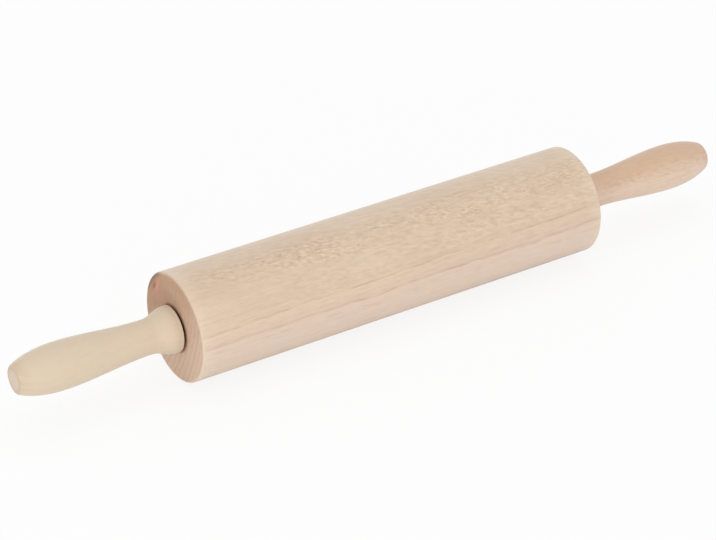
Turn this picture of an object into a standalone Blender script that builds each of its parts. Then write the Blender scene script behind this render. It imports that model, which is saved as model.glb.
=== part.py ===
"""Rolling pin with handles: a beech barrel that turns on two ball bearings round a fixed steel rod.

The rod and both handles stand still in the hands. The barrel carries the bearings' outer races, and
the balls and their cages go round between the races. The pin lies along X with its middle at the
origin. Sizes are in metres.
"""

import math

import bmesh
import bpy

BARREL_DIAMETER = 0.060
BARREL_LENGTH = 0.252
BARREL_EDGE_RADIUS = 0.001
BARREL_BORE = 0.012

HANDLE_LENGTH = 0.0912
HANDLE_STAND_OFF = 0.0013
HANDLE_TIP_DIAMETER = 0.015
HANDLE_TIP_EDGE_RADIUS = 0.0016
HANDLE_BELLY_DIAMETER = 0.0254
HANDLE_BELLY_FROM_TIP = 0.025
HANDLE_WAIST_DIAMETER = 0.0189
HANDLE_WAIST_FROM_RIM = 0.0151
HANDLE_RIM_DIAMETER = 0.0255
HANDLE_COLLAR_LENGTH = 0.002
HANDLE_RIM_EDGE_RADIUS = 0.0006

ROD_DIAMETER = 0.008
ROD_END_CHAMFER = 0.0005
ROD_DEPTH_IN_HANDLE = 0.055
KNURL_LENGTH = 0.030
KNURL_FROM_ROD_END = 0.005
KNURL_HEIGHT = 0.00012
KNURL_DEPTH = 0.0001
HOLE_BEYOND_ROD = 0.002
DRILL_POINT_ANGLE = math.radians(118)
MOUTH_CHAMFER = 0.0005

BEARING_OUTER_DIAMETER = 0.022
BEARING_WIDTH = 0.007
BEARING_BELOW_END_FACE = 0.0004
RACE_CHAMFER = 0.0003
BALL_DIAMETER = 0.003969
BALL_COUNT = 7
LAND_FROM_BALL_CIRCLE = 0.00145
SHIELD_THICKNESS = 0.0003
SHIELD_DISH = 0.0002
SHIELD_BELOW_RACE_FACE = 0.0002
SHIELD_SEAT_DEPTH = 0.00065
CAGE_POCKET_CLEARANCE = 0.0002
CAGE_LAND_CLEARANCE = 0.0006
CAGE_MOUTH_FROM_BALLS = 0.0011

SEAT_GAP = 0.00015
RUNNING_GAP = 0.00015

BARREL_SIDES = 64
HANDLE_SIDES = 36
BEARING_SIDES = 28
CAGE_SIDES = 28
ROD_SIDES = 24
BALL_SEGMENTS = 12
BALL_RINGS = 6
POCKET_SEGMENTS = 12
POCKET_RINGS = 7
EDGE_STEPS = 2
GROOVE_STEPS = 5
NOSE_STEPS = 5
BELLY_TO_WAIST_STEPS = 6
WAIST_TO_RIM_STEPS = 4
MERGE_DISTANCE = 0.000001
SHARP_ANGLE = math.radians(28)

BALL_CIRCLE_RADIUS = (ROD_DIAMETER + BEARING_OUTER_DIAMETER) / 4
BEARING_MIDDLE = -BEARING_BELOW_END_FACE - BEARING_WIDTH / 2
INNER_LAND_RADIUS = BALL_CIRCLE_RADIUS - LAND_FROM_BALL_CIRCLE
OUTER_LAND_RADIUS = BALL_CIRCLE_RADIUS + LAND_FROM_BALL_CIRCLE
GROOVE_RADIUS = BALL_DIAMETER / 2 + RUNNING_GAP
ON_ROD_RADIUS = ROD_DIAMETER / 2 + SEAT_GAP
SHIELD_SEAT_RADIUS = OUTER_LAND_RADIUS + SHIELD_SEAT_DEPTH
SHIELD_OUTER_FACE = BEARING_WIDTH / 2 - SHIELD_BELOW_RACE_FACE
SHIELD_INNER_FACE = SHIELD_OUTER_FACE - SHIELD_THICKNESS

BEECH = ((0.72, 0.56, 0.41), 0.62, 0.0)
BEECH_PALE = ((0.76, 0.61, 0.43), 0.60, 0.0)
STEEL = ((0.56, 0.56, 0.57), 0.32, 1.0)
POLISHED_STEEL = ((0.66, 0.66, 0.67), 0.12, 1.0)
NATURAL_NYLON = ((0.80, 0.78, 0.72), 0.50, 0.0)


def clear_scene():
    for obj in list(bpy.data.objects):
        bpy.data.objects.remove(obj, do_unlink=True)


def new_collection(name):
    collection = bpy.data.collections.new(name)
    bpy.context.scene.collection.children.link(collection)
    return collection


def new_material(name, look):
    colour, roughness, metallic = look
    material = bpy.data.materials.new(name)
    material.use_nodes = True
    shader = material.node_tree.nodes["Principled BSDF"]
    shader.inputs["Base Color"].default_value = (*colour, 1.0)
    shader.inputs["Roughness"].default_value = roughness
    shader.inputs["Metallic"].default_value = metallic
    material.diffuse_color = (*colour, 1.0)
    return material


def new_object(name, mesh, collection, parent):
    obj = bpy.data.objects.new(name, mesh)
    collection.objects.link(obj)
    obj.parent = parent
    return obj


def filleted(corners, closed):
    """Points of a profile whose corners are (radius, height, fillet radius).

    A fillet's arc touches both sides of its corner, and its centre lies on the corner's bisector.
    """
    points = []
    count = len(corners)
    for index, (radius, height, fillet) in enumerate(corners):
        inside = closed or 0 < index < count - 1
        if not (fillet and inside):
            points.append((radius, height))
            continue
        before = corners[index - 1]
        after = corners[(index + 1) % count]
        to_before = (before[0] - radius, before[1] - height)
        to_after = (after[0] - radius, after[1] - height)
        length_before = math.hypot(*to_before)
        length_after = math.hypot(*to_after)
        back = (to_before[0] / length_before, to_before[1] / length_before)
        ahead = (to_after[0] / length_after, to_after[1] / length_after)
        half = math.acos(back[0] * ahead[0] + back[1] * ahead[1]) / 2
        reach = fillet / math.tan(half)
        bisector = (back[0] + ahead[0], back[1] + ahead[1])
        to_centre = fillet / math.sin(half) / math.hypot(*bisector)
        centre = (radius + bisector[0] * to_centre, height + bisector[1] * to_centre)
        start = math.atan2(height + back[1] * reach - centre[1], radius + back[0] * reach - centre[0])
        end = math.atan2(height + ahead[1] * reach - centre[1], radius + ahead[0] * reach - centre[0])
        sweep = (end - start + math.pi) % (2 * math.pi) - math.pi
        for step in range(EDGE_STEPS + 1):
            angle = start + sweep * step / EDGE_STEPS
            points.append((centre[0] + fillet * math.cos(angle), centre[1] + fillet * math.sin(angle)))
    return points


def plain(*points):
    """Corners without a fillet."""
    return [(radius, height, 0.0) for radius, height in points]


def settle(obj, material):
    """Turns the object's modifiers into its mesh, and shades it smooth between its sharp edges."""
    bpy.context.view_layer.update()
    evaluated = obj.evaluated_get(bpy.context.evaluated_depsgraph_get())
    mesh = bpy.data.meshes.new_from_object(evaluated)
    obj.modifiers.clear()
    obj.data = mesh
    mesh.name = obj.name
    mesh.materials.clear()
    mesh.materials.append(material)
    mesh.shade_smooth()
    mesh.set_sharp_from_angle(angle=SHARP_ANGLE)


def turned(name, corners, sides, collection, parent, closed=True):
    """A solid of revolution round local Z. The profile runs down its outer side, top to bottom.

    The profile starts half a side round, so that flat sides face along local X and Y.
    """
    half_side = math.pi / sides
    points = filleted(corners, closed)
    vertices = [(r * math.cos(half_side), r * math.sin(half_side), z) for r, z in points]
    edges = [(i, i + 1) for i in range(len(points) - 1)]
    if closed:
        edges.append((len(points) - 1, 0))
    mesh = bpy.data.meshes.new(name)
    mesh.from_pydata(vertices, edges, [])
    obj = new_object(name, mesh, collection, parent)
    screw = obj.modifiers.new("turn", "SCREW")
    screw.axis = "Z"
    screw.angle = 2 * math.pi
    screw.steps = sides
    screw.render_steps = sides
    screw.use_merge_vertices = True
    screw.merge_threshold = MERGE_DISTANCE
    return obj


def new_empty(name, collection, parent=None):
    empty = bpy.data.objects.new(name, None)
    collection.objects.link(empty)
    empty.parent = parent
    return empty


def end_station(name, side, collection, parent=None):
    """An empty in the middle of one end face of the barrel. Its local Z points out of that end."""
    empty = new_empty(name, collection, parent)
    empty.location = (side * BARREL_LENGTH / 2, 0, 0)
    empty.rotation_euler = (0, side * math.pi / 2, 0)
    return empty


def combine(obj, tool, operation):
    modifier = obj.modifiers.new(tool.name, "BOOLEAN")
    modifier.operation = operation
    modifier.solver = "EXACT"
    modifier.object = tool


def as_tool(obj):
    obj.hide_render = True
    obj.display_type = "WIRE"


def make_barrel(collection, parent, material):
    """A through-bored cylinder with rounded end edges and a bearing counterbore in each end."""
    side_radius = BARREL_DIAMETER / 2 / math.cos(math.pi / BARREL_SIDES)
    half = BARREL_LENGTH / 2
    seat_radius = BEARING_OUTER_DIAMETER / 2 + SEAT_GAP
    seat_bottom = half - BEARING_BELOW_END_FACE - BEARING_WIDTH - SEAT_GAP
    outer = [
        (side_radius, half, BARREL_EDGE_RADIUS),
        (side_radius, -half, BARREL_EDGE_RADIUS),
    ]
    inner = plain(
        (seat_radius + MOUTH_CHAMFER, -half),
        (seat_radius, -half + MOUTH_CHAMFER),
        (seat_radius, -seat_bottom),
        (BARREL_BORE / 2, -seat_bottom),
        (BARREL_BORE / 2, seat_bottom),
        (seat_radius, seat_bottom),
        (seat_radius, half - MOUTH_CHAMFER),
        (seat_radius + MOUTH_CHAMFER, half),
    )
    barrel = turned("barrel", outer + inner, BARREL_SIDES, collection, parent)
    barrel.rotation_euler = (0, math.pi / 2, 0)
    settle(barrel, material)


def ease(start, end, top, bottom, steps):
    """(radius, height) down a half cosine wave, without its first point."""
    blends = [(1 - math.cos(math.pi * k / steps)) / 2 for k in range(1, steps + 1)]
    return [
        (start + (end - start) * blend, top + (bottom - top) * (k + 1) / steps)
        for k, blend in enumerate(blends)
    ]


def handle_outline():
    """(radius, height) from the tip to the collar, as heights above the rim.

    Tip to belly is a stretch of an ellipse. Belly to waist and waist to collar are cosine eases.
    """
    belly = HANDLE_BELLY_DIAMETER / 2
    waist = HANDLE_WAIST_DIAMETER / 2
    rim = HANDLE_RIM_DIAMETER / 2
    belly_height = HANDLE_LENGTH - HANDLE_BELLY_FROM_TIP
    tip_angle = math.asin(HANDLE_TIP_DIAMETER / HANDLE_BELLY_DIAMETER)
    half_length = HANDLE_BELLY_FROM_TIP / math.cos(tip_angle)
    angles = [tip_angle + (math.pi / 2 - tip_angle) * k / NOSE_STEPS for k in range(NOSE_STEPS + 1)]
    nose = [(belly * math.sin(a), belly_height + half_length * math.cos(a)) for a in angles]
    hollow = ease(belly, waist, belly_height, HANDLE_WAIST_FROM_RIM, BELLY_TO_WAIST_STEPS)
    flare = ease(waist, rim, HANDLE_WAIST_FROM_RIM, HANDLE_COLLAR_LENGTH, WAIST_TO_RIM_STEPS)
    return nose + hollow + flare


def make_handle(name, collection, station, material):
    """A turned grip with a flat tip, an egg-shaped belly, a waist, a flared rim and a blind hole."""
    hole_radius = ROD_DIAMETER / 2 + KNURL_HEIGHT + SEAT_GAP
    hole_depth = ROD_DEPTH_IN_HANDLE + HOLE_BEYOND_ROD
    drill_point = hole_radius / math.tan(DRILL_POINT_ANGLE / 2)
    outline = handle_outline()
    tip_radius, tip_height = outline[0]
    corners = plain((0, tip_height))
    corners.append((tip_radius, tip_height, HANDLE_TIP_EDGE_RADIUS))
    corners += plain(*outline[1:])
    corners.append((HANDLE_RIM_DIAMETER / 2, 0, HANDLE_RIM_EDGE_RADIUS))
    corners += plain(
        (hole_radius + MOUTH_CHAMFER, 0),
        (hole_radius, MOUTH_CHAMFER),
        (hole_radius, hole_depth),
        (0, hole_depth + drill_point),
    )
    handle = turned(name, corners, HANDLE_SIDES, collection, station, closed=False)
    handle.location = (0, 0, HANDLE_STAND_OFF)
    settle(handle, material)


def make_knurl(name, middle, collection, parent):
    """A fluted sleeve: every second edge of a prism is pulled in below the rod's surface."""
    shape = bmesh.new()
    bmesh.ops.create_cone(
        shape,
        cap_ends=True,
        segments=2 * ROD_SIDES,
        radius1=ROD_DIAMETER / 2 + KNURL_HEIGHT,
        radius2=ROD_DIAMETER / 2 + KNURL_HEIGHT,
        depth=KNURL_LENGTH,
    )
    valley = (ROD_DIAMETER / 2 - KNURL_DEPTH) / (ROD_DIAMETER / 2 + KNURL_HEIGHT)
    for vertex in shape.verts:
        turn = math.atan2(vertex.co.y, vertex.co.x) / (math.pi / ROD_SIDES)
        if round(turn) % 2 == 0:
            vertex.co.x *= valley
            vertex.co.y *= valley
    mesh = bpy.data.meshes.new(name)
    shape.to_mesh(mesh)
    shape.free()
    knurl = new_object(name, mesh, collection, parent)
    knurl.rotation_euler = (0, math.pi / 2, 0)
    knurl.location = (middle, 0, 0)
    as_tool(knurl)
    return knurl


def make_axle_rod(collection, tools, parent, material):
    """One steel rod from handle to handle, with chamfered ends and a knurl at each end."""
    radius = ROD_DIAMETER / 2
    half = BARREL_LENGTH / 2 + HANDLE_STAND_OFF + ROD_DEPTH_IN_HANDLE
    corners = plain(
        (0, half),
        (radius - ROD_END_CHAMFER, half),
        (radius, half - ROD_END_CHAMFER),
        (radius, -half + ROD_END_CHAMFER),
        (radius - ROD_END_CHAMFER, -half),
        (0, -half),
    )
    rod = turned("axle_rod", corners, ROD_SIDES, collection, parent, closed=False)
    rod.rotation_euler = (0, math.pi / 2, 0)
    knurl_middle = half - KNURL_FROM_ROD_END - KNURL_LENGTH / 2
    for name, side in (("left_knurl", -1), ("right_knurl", 1)):
        combine(rod, make_knurl(name, side * knurl_middle, tools, parent), "UNION")
    settle(rod, material)


def groove_arc(middle_angle):
    """(radius, height) along a ball groove, between the lands, centred on the ball circle."""
    half_arc = math.acos(LAND_FROM_BALL_CIRCLE / GROOVE_RADIUS)
    angles = [middle_angle + half_arc * (2 * k / GROOVE_STEPS - 1) for k in range(GROOVE_STEPS + 1)]
    return [
        (BALL_CIRCLE_RADIUS + GROOVE_RADIUS * math.cos(a), GROOVE_RADIUS * math.sin(a))
        for a in angles
    ]


def make_inner_race(name, collection, station, material):
    half = BEARING_WIDTH / 2
    corners = plain(
        (INNER_LAND_RADIUS - RACE_CHAMFER, half),
        (INNER_LAND_RADIUS, half - RACE_CHAMFER),
        *groove_arc(math.pi),
        (INNER_LAND_RADIUS, -half + RACE_CHAMFER),
        (INNER_LAND_RADIUS - RACE_CHAMFER, -half),
        (ON_ROD_RADIUS, -half),
        (ON_ROD_RADIUS, half),
    )
    race = turned(name, corners, BEARING_SIDES, collection, station)
    race.location = (0, 0, BEARING_MIDDLE)
    settle(race, material)


def make_outer_race(name, collection, station, material):
    """The race has a step at each side of its groove, in which a shield sits."""
    half = BEARING_WIDTH / 2
    radius = BEARING_OUTER_DIAMETER / 2
    step = SHIELD_INNER_FACE - SEAT_GAP
    corners = plain(
        (radius - RACE_CHAMFER, half),
        (radius, half - RACE_CHAMFER),
        (radius, -half + RACE_CHAMFER),
        (radius - RACE_CHAMFER, -half),
        (SHIELD_SEAT_RADIUS, -half),
        (SHIELD_SEAT_RADIUS, -step),
        (OUTER_LAND_RADIUS, -step),
        *groove_arc(0),
        (OUTER_LAND_RADIUS, step),
        (SHIELD_SEAT_RADIUS, step),
        (SHIELD_SEAT_RADIUS, half),
    )
    race = turned(name, corners, BEARING_SIDES, collection, station)
    race.location = (0, 0, BEARING_MIDDLE)
    settle(race, material)


def make_shield(name, facing, collection, station, material):
    """A thin steel ring held by the outer race. Its inner half is dished towards the balls."""
    outer = SHIELD_SEAT_RADIUS - SEAT_GAP
    inner = INNER_LAND_RADIUS + 2 * RUNNING_GAP
    bend = (outer + inner) / 2
    top = SHIELD_OUTER_FACE
    bottom = SHIELD_INNER_FACE
    corners = plain(
        (outer, top),
        (outer, bottom),
        (bend, bottom),
        (inner, bottom - SHIELD_DISH),
        (inner, top - SHIELD_DISH),
        (bend, top),
    )
    shield = turned(name, corners, BEARING_SIDES, collection, station)
    shield.location = (0, 0, BEARING_MIDDLE)
    shield.rotation_euler = (0 if facing > 0 else math.pi, 0, 0)
    settle(shield, material)


def ball_place(index):
    angle = 2 * math.pi * index / BALL_COUNT
    return BALL_CIRCLE_RADIUS * math.cos(angle), BALL_CIRCLE_RADIUS * math.sin(angle), 0


def make_ball_mesh(material):
    shape = bmesh.new()
    bmesh.ops.create_uvsphere(
        shape, u_segments=BALL_SEGMENTS, v_segments=BALL_RINGS, radius=BALL_DIAMETER / 2
    )
    mesh = bpy.data.meshes.new("ball")
    shape.to_mesh(mesh)
    shape.free()
    mesh.materials.append(material)
    mesh.shade_smooth()
    return mesh


def make_pockets(name, collection, station):
    """Spheres a little larger than the balls, where the balls lie."""
    shape = bmesh.new()
    for index in range(BALL_COUNT):
        sphere = bmesh.ops.create_uvsphere(
            shape,
            u_segments=POCKET_SEGMENTS,
            v_segments=POCKET_RINGS,
            radius=BALL_DIAMETER / 2 + CAGE_POCKET_CLEARANCE,
        )
        bmesh.ops.translate(shape, verts=sphere["verts"], vec=ball_place(index))
    mesh = bpy.data.meshes.new(name)
    shape.to_mesh(mesh)
    shape.free()
    pockets = new_object(name, mesh, collection, station)
    as_tool(pockets)
    return pockets


def make_cage(name, collection, tools, station, material):
    """A moulded crown: a ring whose pockets open on one side, so that the balls snap in."""
    reach = LAND_FROM_BALL_CIRCLE - CAGE_LAND_CLEARANCE
    back = SHIELD_INNER_FACE - SHIELD_DISH - RUNNING_GAP
    corners = plain(
        (BALL_CIRCLE_RADIUS + reach, CAGE_MOUTH_FROM_BALLS),
        (BALL_CIRCLE_RADIUS + reach, -back),
        (BALL_CIRCLE_RADIUS - reach, -back),
        (BALL_CIRCLE_RADIUS - reach, CAGE_MOUTH_FROM_BALLS),
    )
    cage = turned(name, corners, CAGE_SIDES, collection, station)
    combine(cage, make_pockets(name + "_pockets", tools, station), "DIFFERENCE")
    settle(cage, material)


def make_spacer_washer(name, collection, station, material):
    """A washer on the rod, as wide as the inner race, from that race to the handle's rim face."""
    low = -BEARING_BELOW_END_FACE + SEAT_GAP
    high = HANDLE_STAND_OFF - SEAT_GAP
    outer = INNER_LAND_RADIUS - RACE_CHAMFER
    corners = plain((outer, high), (outer, low), (ON_ROD_RADIUS, low), (ON_ROD_RADIUS, high))
    washer = turned(name, corners, BEARING_SIDES, collection, station)
    settle(washer, material)


def main():
    clear_scene()
    parts = new_collection("rolling_pin")
    tools = new_collection("cutters")
    barrel_beech = new_material("beech", BEECH)
    handle_beech = new_material("beech_pale", BEECH_PALE)
    steel = new_material("steel", STEEL)
    ball_steel = new_material("polished_steel", POLISHED_STEEL)
    nylon = new_material("natural_nylon", NATURAL_NYLON)

    handles_frame = new_empty("handles_frame", parts)
    roller_axis = new_empty("roller_axis", parts)
    make_barrel(parts, roller_axis, barrel_beech)
    make_axle_rod(parts, tools, handles_frame, steel)
    ball_mesh = make_ball_mesh(ball_steel)
    for end, side in (("left", -1), ("right", 1)):
        fixed_end = end_station(f"{end}_fixed_end", side, parts, handles_frame)
        rolling_end = end_station(f"{end}_rolling_end", side, parts, roller_axis)
        cage_axis = end_station(f"{end}_cage_axis", side, parts)
        cage_axis.location.x += side * BEARING_MIDDLE
        make_handle(f"{end}_handle", parts, fixed_end, handle_beech)
        make_spacer_washer(f"{end}_spacer_washer", parts, fixed_end, steel)
        make_inner_race(f"{end}_inner_race", parts, fixed_end, steel)
        make_outer_race(f"{end}_outer_race", parts, rolling_end, steel)
        make_shield(f"{end}_outboard_shield", 1, parts, rolling_end, steel)
        make_shield(f"{end}_inboard_shield", -1, parts, rolling_end, steel)
        make_cage(f"{end}_ball_cage", parts, tools, cage_axis, nylon)
        for index in range(BALL_COUNT):
            ball = new_object(f"{end}_ball_{index + 1}", ball_mesh, parts, cage_axis)
            ball.location = ball_place(index)


main()
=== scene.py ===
"""Looks of a beech rolling pin: a roller on ball bearings, a fixed steel rod and two turned grips.

The pin lies along X with its middle at the origin, and rests on the floor under its roller. Shapes
are in metres. Wood is worked out in millimetres inside its materials.
"""

import math

import bpy
import numpy as np
from mathutils import Matrix, Vector


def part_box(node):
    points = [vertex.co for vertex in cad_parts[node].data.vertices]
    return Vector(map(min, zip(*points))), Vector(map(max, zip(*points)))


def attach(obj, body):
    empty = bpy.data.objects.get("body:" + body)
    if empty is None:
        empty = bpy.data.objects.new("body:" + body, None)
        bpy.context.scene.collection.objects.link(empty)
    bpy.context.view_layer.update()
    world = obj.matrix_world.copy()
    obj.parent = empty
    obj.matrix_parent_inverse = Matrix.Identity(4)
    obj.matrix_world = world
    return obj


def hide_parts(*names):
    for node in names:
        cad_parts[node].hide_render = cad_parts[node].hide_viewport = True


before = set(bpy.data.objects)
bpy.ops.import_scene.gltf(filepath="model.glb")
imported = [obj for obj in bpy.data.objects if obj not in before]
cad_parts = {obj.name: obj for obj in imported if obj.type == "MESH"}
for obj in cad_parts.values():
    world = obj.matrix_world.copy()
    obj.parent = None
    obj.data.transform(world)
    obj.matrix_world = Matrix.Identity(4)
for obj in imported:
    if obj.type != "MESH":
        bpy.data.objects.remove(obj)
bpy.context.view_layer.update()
MM = 0.001

# The wood, in the terms of the class Log. Ray figure leans from the pin's axis by RAY_LEAN, towards
# out. It is strongest where out is RAY_SKEW of the radius. It starts on a slant, FIGURE_SLANT along X
# for each millimetre of out, and fades in over FIGURE_FADE on either side of that.
RAY_LEAN = math.radians(16)
RAY_SKEW = 0.07
FIGURE_SLANT = 1.94
FIGURE_FADE = 14
SIDE_SWAY = 5.0
DEPTH_SWAY = 2.0
LATE_SHARPNESS = 9.0
SEASON_SHARPNESS = 2.5
FALSE_SHARPNESS = 5.0

# Marks on the roller's left end face, in millimetres from its middle. The scar's long way leans from
# the Y axis by SCAR_LEAN. The bark covers an arc of the rim, by angles from +Z towards +Y.
PATCH_Y = 4.0
PATCH_Z = 14.5
PATCH_WIDE = 10.0
PATCH_HIGH = 5.0
SCAR_Y = 20.3
SCAR_Z = 15.1
SCAR_LEAN = math.radians(60)
SCAR_LONG = 2.6
SCAR_WIDE = 0.95
BARK_STARTS = (0.35, 0.70)
BARK_ENDS = (1.35, 1.10)
BARK_RADII = (27.3, 29.0)

# Roller. A bearing sits in each end, and MOUTH is the chamfer of its seat and of the grips' holes.
# Painted shade darkens the end faces, for the narrow gap to each grip, out to a reach beyond the
# grips' rims that is the last number here.
ROLLER_RADIUS = 30.0
ROLLER_HALF = 126.0
ROLLER_EDGE = 1.0
BORE_RADIUS = 6.0
SEAT_RADIUS = 11.15
SEAT_DEPTH = 7.55
MOUTH = 0.5
GAP_SHADE_REACH = 1.2

# Grips, which start at GRIP_START from the pin's middle. Other places along them count from the rim
# or from the tip. COLLAR is the length of the straight stretch at the rim.
GRIP_START = 127.3
GRIP_LENGTH = 91.2
TIP_RADIUS = 7.5
TIP_EDGE = 1.6
BELLY_RADIUS = 12.7
BELLY_FROM_TIP = 25.0
WAIST_RADIUS = 9.45
WAIST_FROM_RIM = 15.1
RIM_RADIUS = 12.75
RIM_EDGE = 0.35
COLLAR = 2.0
HOLE_RADIUS = 4.27
HOLE_DEPTH = 57.0
DRILL_ANGLE = math.radians(118)
DRILL_POINT = HOLE_RADIUS / math.tan(DRILL_ANGLE / 2)

# Rod, with a knurl in each grip, which stands KNURL_HEIGHT above the rod and is cut KNURL_DEPTH into
# it. SEAT_GAP is the space left round a fitted piece.
ROD_RADIUS = 4.0
ROD_HALF = 182.3
ROD_CHAMFER = 0.5
KNURL_FROM = 147.3
KNURL_TO = 177.3
KNURL_TEETH = 24
KNURL_LEAD = 1.8
KNURL_HEIGHT = 0.12
KNURL_DEPTH = 0.10
SEAT_GAP = 0.15

# Bearings, each sunk BEARING_SUNK below the roller's end face. Places along X count from the middle of
# a bearing's width. A groove is the balls' way in a race, and a land is the race's surface beside it.
# HORN is the outline of a cage's horn, as the way round the ring and the way up from HORN_FROM.
BEARING_RADIUS = 11.0
BEARING_WIDTH = 7.0
BEARING_SUNK = 0.4
BEARING_AT = ROLLER_HALF - BEARING_SUNK - BEARING_WIDTH / 2
BALLS = 7
BALL_RADIUS = 1.9845
BALL_CIRCLE = 7.5
GROOVE_RADIUS = 2.1345
LAND_OFFSET = 1.45
SHIELD_SEAT = 9.6
SHIELD_FACE = 3.3
SHIELD_THICKNESS = 0.3
SHIELD_DISH = 0.2
SHIELD_LIP = 0.1
SHIELD_CLEAR = 0.3
CRIMPS = 12
CRIMP_DEPTH = 0.08
STEP_AT = SHIELD_FACE - SHIELD_THICKNESS - SEAT_GAP
CAGE_OUTER = 8.35
CAGE_INNER = 6.65
CAGE_BACK = 2.65
POCKET_RADIUS = 2.1845
HORN_FROM = 0.9
NOTCH_FLOOR = -0.4
HORN = np.array([(0.06, 0.11), (0.16, 0.18), (0.30, 0.20), (0.44, 0.18), (0.55, 0.10), (0.62, -0.05)])
WALL_POINTS = 22
NOTCH_POINTS = 8
SHARP_FROM = math.radians(30)

# Camera and studio. Distances are in metres, the lens and its sensor in millimetres.
CAMERA_AZIMUTH = math.radians(32.667)
CAMERA_ELEVATION = math.radians(30.778)
CAMERA_AWAY = 1.55148
CAMERA_RIGHT = -0.011393
CAMERA_UP = -0.004973
LENS = 145.46
SENSOR = 36.0
FLOOR_HALF = 6.0
FLOOR_CLEAR = 0.00002
FLOOR_GLOW = 0.86
SKY_LIGHT = 0.68


class Wire:
    """An output socket. Sums and products written on it add Math nodes to its finish."""

    def __init__(self, finish, socket):
        self.finish = finish
        self.socket = socket

    def math(self, operation, *others):
        inputs = dict(enumerate((self, *others)))
        return self.finish.node("ShaderNodeMath", {"operation": operation}, inputs)

    def __add__(self, other):
        return self.math("ADD", other)

    __radd__ = __add__

    def __sub__(self, other):
        return self.math("SUBTRACT", other)

    def __mul__(self, other):
        return self.math("MULTIPLY", other)

    __rmul__ = __mul__

    def __truediv__(self, other):
        return self.math("DIVIDE", other)

    def __pow__(self, other):
        return self.math("POWER", other)

    def step(self, low, high):
        """Goes smoothly from 0 at low to 1 at high, or the other way when low is above high."""
        settings = {"interpolation_type": "SMOOTHSTEP"}
        return self.finish.node("ShaderNodeMapRange", settings, {0: self, 1: low, 2: high})


class Finish:
    """A material of one Principled shader, and the nodes that feed it."""

    def __init__(self, name):
        self.material = bpy.data.materials.new(name)
        self.material.use_nodes = True
        self.tree = self.material.node_tree
        self.shader = self.tree.nodes["Principled BSDF"]

    def node(self, kind, settings=None, inputs=None, output=0):
        """Adds a node, makes its settings, fills or links its sockets, and gives one output."""
        added = self.tree.nodes.new(kind)
        for name, value in (settings or {}).items():
            setattr(added, name, value)
        for key, value in (inputs or {}).items():
            self.plug(added.inputs[key], value)
        return Wire(self, added.outputs[output])

    def plug(self, socket, value):
        """Links a wire to the socket, or writes a plain value in it."""
        if isinstance(value, Wire):
            self.tree.links.new(value.socket, socket)
        else:
            socket.default_value = value

    def set(self, **values):
        """Fills the shader's sockets, with _ for a space in their names."""
        for name, value in values.items():
            self.plug(self.shader.inputs[name.replace("_", " ")], value)

    def place(self):
        """The X, Y and Z of the point on the piece, in millimetres."""
        point = self.node("ShaderNodeTexCoord", output="Object")
        inputs = {0: point, "Scale": 1 / MM}
        return self.split(self.node("ShaderNodeVectorMath", {"operation": "SCALE"}, inputs))

    def split(self, vector):
        """The three parts of a vector or a colour."""
        parts = self.node("ShaderNodeSeparateXYZ", inputs={0: vector})
        outputs = parts.socket.node.outputs
        return [Wire(self, outputs[k]) for k in range(3)]

    def scaled(self, way, sizes, layer=0.0):
        """The place along two or three ways, each counted in its own size, with the layer as a third."""
        counts = [value / size for value, size in zip(way, sizes)] + [layer]
        return self.node("ShaderNodeCombineXYZ", inputs=dict(enumerate(counts[:3])))

    def patches(self, way, sizes, layer=0.0, detail=2.0, roughness=0.5):
        """Soft random patches, about 0 to 1, that reach as far as the sizes say, in millimetres."""
        vector = self.scaled(way, sizes, layer)
        inputs = {"Vector": vector, "Scale": 1.0, "Detail": detail, "Roughness": roughness}
        return self.node("ShaderNodeTexNoise", inputs=inputs)

    def colour_of(self, wire):
        """The red, green and blue of the texture node that a wire comes from."""
        return self.split(Wire(self, wire.socket.node.outputs["Color"]))

    def cells(self, way, sizes, least, spread):
        """Soft grains, one about each of many scattered points, and three random numbers for each grain.

        A grain is 1 inside and 0 outside. It reaches from its point to least plus up to spread, as
        shares of the sizes.
        """
        settings = {"voronoi_dimensions": "3D", "feature": "F1"}
        inputs = {"Vector": self.scaled(way, sizes), "Scale": 1.0}
        gap = self.node("ShaderNodeTexVoronoi", settings, inputs, output="Distance")
        lots = self.colour_of(gap)
        return (gap / (lots[0] * spread + least)).step(1.05, 0.55), lots

    def mix(self, factor, below, above):
        """One colour over another, as far as the factor says."""
        settings = {"data_type": "RGBA", "blend_type": "MIX", "clamp_factor": True}
        return self.node("ShaderNodeMix", settings, {0: factor, 6: below, 7: above}, output=2)

    def attribute(self, name):
        """The number that mark() wrote on the piece's points."""
        return self.node("ShaderNodeAttribute", {"attribute_name": name}, output="Fac")

    def bump(self, height, distance, strength):
        """A normal tilted by a height, which is worth the distance, in metres, where it is 1."""
        inputs = {"Height": height, "Distance": distance, "Strength": strength}
        return self.node("ShaderNodeBump", inputs=inputs)


def srgb(red, green, blue):
    """A colour given as it shows on a screen, 0 to 255, in linear light."""
    def linear(value):
        value /= 255
        return value / 12.92 if value <= 0.04045 else ((value + 0.055) / 1.055) ** 2.4

    return linear(red), linear(green), linear(blue), 1.0


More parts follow.
